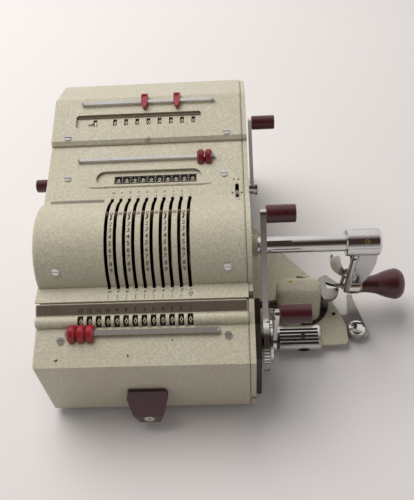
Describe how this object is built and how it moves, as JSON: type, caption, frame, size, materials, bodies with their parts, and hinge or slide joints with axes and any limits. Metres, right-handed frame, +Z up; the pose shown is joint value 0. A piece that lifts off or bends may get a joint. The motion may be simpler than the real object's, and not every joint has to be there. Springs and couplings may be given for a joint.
{
  "type": "pinwheel calculator",
  "caption": "Hand-cranked desktop calculator with a slotted setting drum, dial windows, a sliding carriage, clearing levers and a side crank.",
  "frame": {"origin": "centre of the bounding box in plan, on the table under the rubber feet", "axes": "+X to the operator's right, towards the crank; +Y to the back; +Z up"},
  "size_m": [0.3486, 0.3092, 0.1602],
  "materials": {
    "case_paint": "hammertone enamel, satin",
    "frame_steel": "dull plated steel",
    "bright_chrome": "polished chrome",
    "dark_steel": "blackened steel",
    "strip_metal": "matt oxidised strip",
    "dial_black": "matt black dials with cream numbers",
    "grip_burgundy": "polished dark burgundy",
    "marker_red": "bright red",
    "pointer_red": "dusty red",
    "foot_rubber": "matt rubber",
    "brass_part": "machined brass"
  },
  "bodies": {
    "root": {"base_plate": "case_paint", "left_side_frame": "case_paint", "right_side_frame": "frame_steel", "side_plate": "case_paint", "rear_panel": "case_paint", "setting_cover": "case_paint", "counter_cover": "case_paint", "index_strip": "case_paint", "feet": "foot_rubber", "cross_rods": "dark_steel", "case_screws": "bright_chrome", "register_masks": "case_paint", "register_rails": "bright_chrome", "carriage_guides": "frame_steel", "tower_housing": "case_paint", "crank_catch": "frame_steel", "wing_posts": "dark_steel"},
    "rotor": {"crank_tube": "bright_chrome", "pinwheel_drum": "brass_part", "crank_arm": "bright_chrome"},
    "handle": {"crank_handle": "grip_burgundy"},
    "thumb_lever": {"thumb_lever": "bright_chrome"},
    "lock_pin": {"lock_pin": "frame_steel"},
    "counter_lever": {"counter_clear_lever": "bright_chrome", "counter_clear_grip": "grip_burgundy"},
    "counter_dials": {"counter_dials": "dial_black"},
    "counter_units_dial": {"counter_units_dial": "dial_black"},
    "check_dials": {"check_dials": "dial_black"},
    "carriage": {"carriage_cover": "case_paint", "carriage_end_plate": "case_paint", "carriage_frame": "dark_steel", "carriage_rail": "bright_chrome", "carriage_screws": "bright_chrome"},
    "result_dials": {"result_dials": "dial_black"},
    "result_lever": {"result_clear_lever": "bright_chrome", "result_clear_grip": "grip_burgundy"},
    "setting_clear": {"setting_clear_lever": "bright_chrome", "setting_clear_grip": "grip_burgundy"},
    "carriage_grip": {"carriage_grip": "grip_burgundy"},
    "shift_key": {"shift_key": "bright_chrome"},
    "transfer_lever": {"transfer_lever": "frame_steel"},
    "left_knob": {"left_knob": "grip_burgundy"},
    "direction_lever": {"direction_lever": "frame_steel"},
    "counter_pointer_1": {"counter_pointer_1": "pointer_red"},
    "counter_pointer_2": {"counter_pointer_2": "pointer_red"},
    "setting_marker_1": {"setting_marker_1": "grip_burgundy"},
    "setting_marker_2": {"setting_marker_2": "grip_burgundy"},
    "carriage_marker_1": {"carriage_marker_1": "marker_red"},
    "carriage_marker_2": {"carriage_marker_2": "marker_red"},
    "carriage_marker_3": {"carriage_marker_3": "marker_red"},
    "setting_lever_1": {"setting_lever_1": "frame_steel"},
    "setting_lever_2": {"setting_lever_2": "frame_steel"},
    "setting_lever_3": {"setting_lever_3": "frame_steel"},
    "setting_lever_4": {"setting_lever_4": "frame_steel"},
    "setting_lever_5": {"setting_lever_5": "frame_steel"},
    "setting_lever_6": {"setting_lever_6": "frame_steel"},
    "setting_lever_7": {"setting_lever_7": "frame_steel"},
    "setting_lever_8": {"setting_lever_8": "frame_steel"},
    "setting_lever_9": {"setting_lever_9": "frame_steel"},
    "setting_lever_10": {"setting_lever_10": "frame_steel"}
  },
  "joints": [
    {"name": "crank_turn", "type": "hinge", "parent": "root", "child": "rotor", "pos_m": [-0.06525, -0.03005, 0.101], "axis": [1, 0, 0], "continuous": true},
    {"name": "setting_lever_1_set", "type": "hinge", "parent": "root", "child": "setting_lever_1", "pos_m": [-0.02375, -0.03005, 0.101], "axis": [1, 0, 0], "range_deg": [0, 68.7]},
    {"name": "setting_lever_2_set", "type": "hinge", "parent": "root", "child": "setting_lever_2", "pos_m": [-0.03145, -0.03005, 0.101], "axis": [1, 0, 0], "range_deg": [0, 68.7]},
    {"name": "setting_lever_3_set", "type": "hinge", "parent": "root", "child": "setting_lever_3", "pos_m": [-0.03915, -0.03005, 0.101], "axis": [1, 0, 0], "range_deg": [0, 68.7]},
    {"name": "setting_lever_4_set", "type": "hinge", "parent": "root", "child": "setting_lever_4", "pos_m": [-0.04685, -0.03005, 0.101], "axis": [1, 0, 0], "range_deg": [0, 68.7]},
    {"name": "setting_lever_5_set", "type": "hinge", "parent": "root", "child": "setting_lever_5", "pos_m": [-0.05455, -0.03005, 0.101], "axis": [1, 0, 0], "range_deg": [0, 68.7]},
    {"name": "setting_lever_6_set", "type": "hinge", "parent": "root", "child": "setting_lever_6", "pos_m": [-0.06225, -0.03005, 0.101], "axis": [1, 0, 0], "range_deg": [0, 68.7]},
    {"name": "setting_lever_7_set", "type": "hinge", "parent": "root", "child": "setting_lever_7", "pos_m": [-0.06995, -0.03005, 0.101], "axis": [1, 0, 0], "range_deg": [0, 68.7]},
    {"name": "setting_lever_8_set", "type": "hinge", "parent": "root", "child": "setting_lever_8", "pos_m": [-0.07765, -0.03005, 0.101], "axis": [1, 0, 0], "range_deg": [0, 68.7]},
    {"name": "setting_lever_9_set", "type": "hinge", "parent": "root", "child": "setting_lever_9", "pos_m": [-0.08535, -0.03005, 0.101], "axis": [1, 0, 0], "range_deg": [0, 68.7]},
    {"name": "setting_lever_10_set", "type": "hinge", "parent": "root", "child": "setting_lever_10", "pos_m": [-0.09305, -0.03005, 0.101], "axis": [1, 0, 0], "range_deg": [0, 68.7]},
    {"name": "handle_spin", "type": "hinge", "parent": "rotor", "child": "handle", "pos_m": [0.13425, -0.03005, 0.035], "axis": [1, 0, 0], "continuous": true},
    {"name": "thumb_lever_press", "type": "hinge", "parent": "rotor", "child": "thumb_lever", "pos_m": [0.11625, -0.03005, 0.054], "axis": [0, -1, 0], "range_deg": [0, 14], "stiffness_Nm_per_rad": 0.12, "springref_deg": -6.88},
    {"name": "lock_pin_draw", "type": "slide", "parent": "rotor", "child": "lock_pin", "axis": [1, 0, 0], "range_m": [0, 0.004]},
    {"name": "counter_clear", "type": "hinge", "parent": "root", "child": "counter_lever", "pos_m": [0.03035, 0.02395, 0.118], "axis": [1, 0, 0], "range_deg": [0, 75]},
    {"name": "counter_dials_turn", "type": "hinge", "parent": "root", "child": "counter_dials", "pos_m": [-0.06525, 0.09043, 0.13724], "axis": [1, 0, 0], "range_deg": [0, 360]},
    {"name": "counter_units_turn", "type": "hinge", "parent": "counter_dials", "child": "counter_units_dial", "pos_m": [-0.02115, 0.09043, 0.13724], "axis": [1, 0, 0], "continuous": true},
    {"name": "check_dials_turn", "type": "hinge", "parent": "root", "child": "check_dials", "pos_m": [-0.06525, 0.02808, 0.12442], "axis": [1, 0, 0], "range_deg": [0, 360]},
    {"name": "carriage_slide", "type": "slide", "parent": "root", "child": "carriage", "axis": [1, 0, 0], "range_m": [0, 0.0308]},
    {"name": "result_dials_turn", "type": "hinge", "parent": "carriage", "child": "result_dials", "pos_m": [-0.06525, -0.09614, 0.08904], "axis": [1, 0, 0], "range_deg": [0, 360]},
    {"name": "result_clear", "type": "hinge", "parent": "carriage", "child": "result_lever", "pos_m": [0.03675, -0.09705, 0.049], "axis": [1, 0, 0], "range_deg": [0, 60]},
    {"name": "setting_clear_pull", "type": "hinge", "parent": "carriage", "child": "setting_clear", "pos_m": [0.04505, -0.09705, 0.049], "axis": [1, 0, 0], "range_deg": [0, 50]},
    {"name": "carriage_grip_lift", "type": "hinge", "parent": "carriage", "child": "carriage_grip", "pos_m": [-0.06525, -0.13985, 0.0425], "axis": [-1, 0, 0], "range_deg": [0, 8]},
    {"name": "shift_key_rock", "type": "hinge", "parent": "root", "child": "shift_key", "pos_m": [0.07605, -0.07445, 0.0122], "axis": [0, 0, 1], "range_deg": [-5, 5], "stiffness_Nm_per_rad": 0.05},
    {"name": "transfer_swing", "type": "hinge", "parent": "root", "child": "transfer_lever", "pos_m": [0.10835, -0.04705, 0.008], "axis": [0, 0, 1], "range_deg": [0, 12]},
    {"name": "left_knob_push", "type": "slide", "parent": "root", "child": "left_knob", "axis": [1, 0, 0], "range_m": [0, 0.003], "stiffness_N_per_m": 200, "springref_m": -0.002},
    {"name": "direction_lever_shift", "type": "slide", "parent": "root", "child": "direction_lever", "axis": [0, 0.9898, 0.1426], "range_m": [0, 0.006]},
    {"name": "counter_pointer_1_slide", "type": "slide", "parent": "root", "child": "counter_pointer_1", "axis": [1, 0, 0], "range_m": [-0.054, 0.012]},
    {"name": "counter_pointer_2_slide", "type": "slide", "parent": "root", "child": "counter_pointer_2", "axis": [1, 0, 0], "range_m": [-0.012, 0.028]},
    {"name": "setting_marker_2_slide", "type": "slide", "parent": "root", "child": "setting_marker_2", "axis": [1, 0, 0], "range_m": [-0.05, 0]},
    {"name": "setting_marker_1_slide", "type": "slide", "parent": "setting_marker_2", "child": "setting_marker_1", "axis": [1, 0, 0], "range_m": [-0.05, 0]},
    {"name": "carriage_marker_1_slide", "type": "slide", "parent": "carriage", "child": "carriage_marker_1", "axis": [1, 0, 0], "range_m": [0, 0.033]},
    {"name": "carriage_marker_2_slide", "type": "slide", "parent": "carriage_marker_1", "child": "carriage_marker_2", "axis": [1, 0, 0], "range_m": [0, 0.033]},
    {"name": "carriage_marker_3_slide", "type": "slide", "parent": "carriage_marker_2", "child": "carriage_marker_3", "axis": [1, 0, 0], "range_m": [0, 0.033]}
  ],
  "couplings": [
    {"joint": "lock_pin_draw", "follows": "thumb_lever_press", "m_per_rad": 0.015142},
    {"joint": "counter_dials_turn", "follows": "counter_clear", "ratio": 4.8},
    {"joint": "counter_units_turn", "follows": "crank_turn", "ratio": 0.1},
    {"joint": "result_dials_turn", "follows": "result_clear", "ratio": 6},
    {"joint": "check_dials_turn", "follows": "setting_clear_pull", "ratio": 7.2}
  ]
}
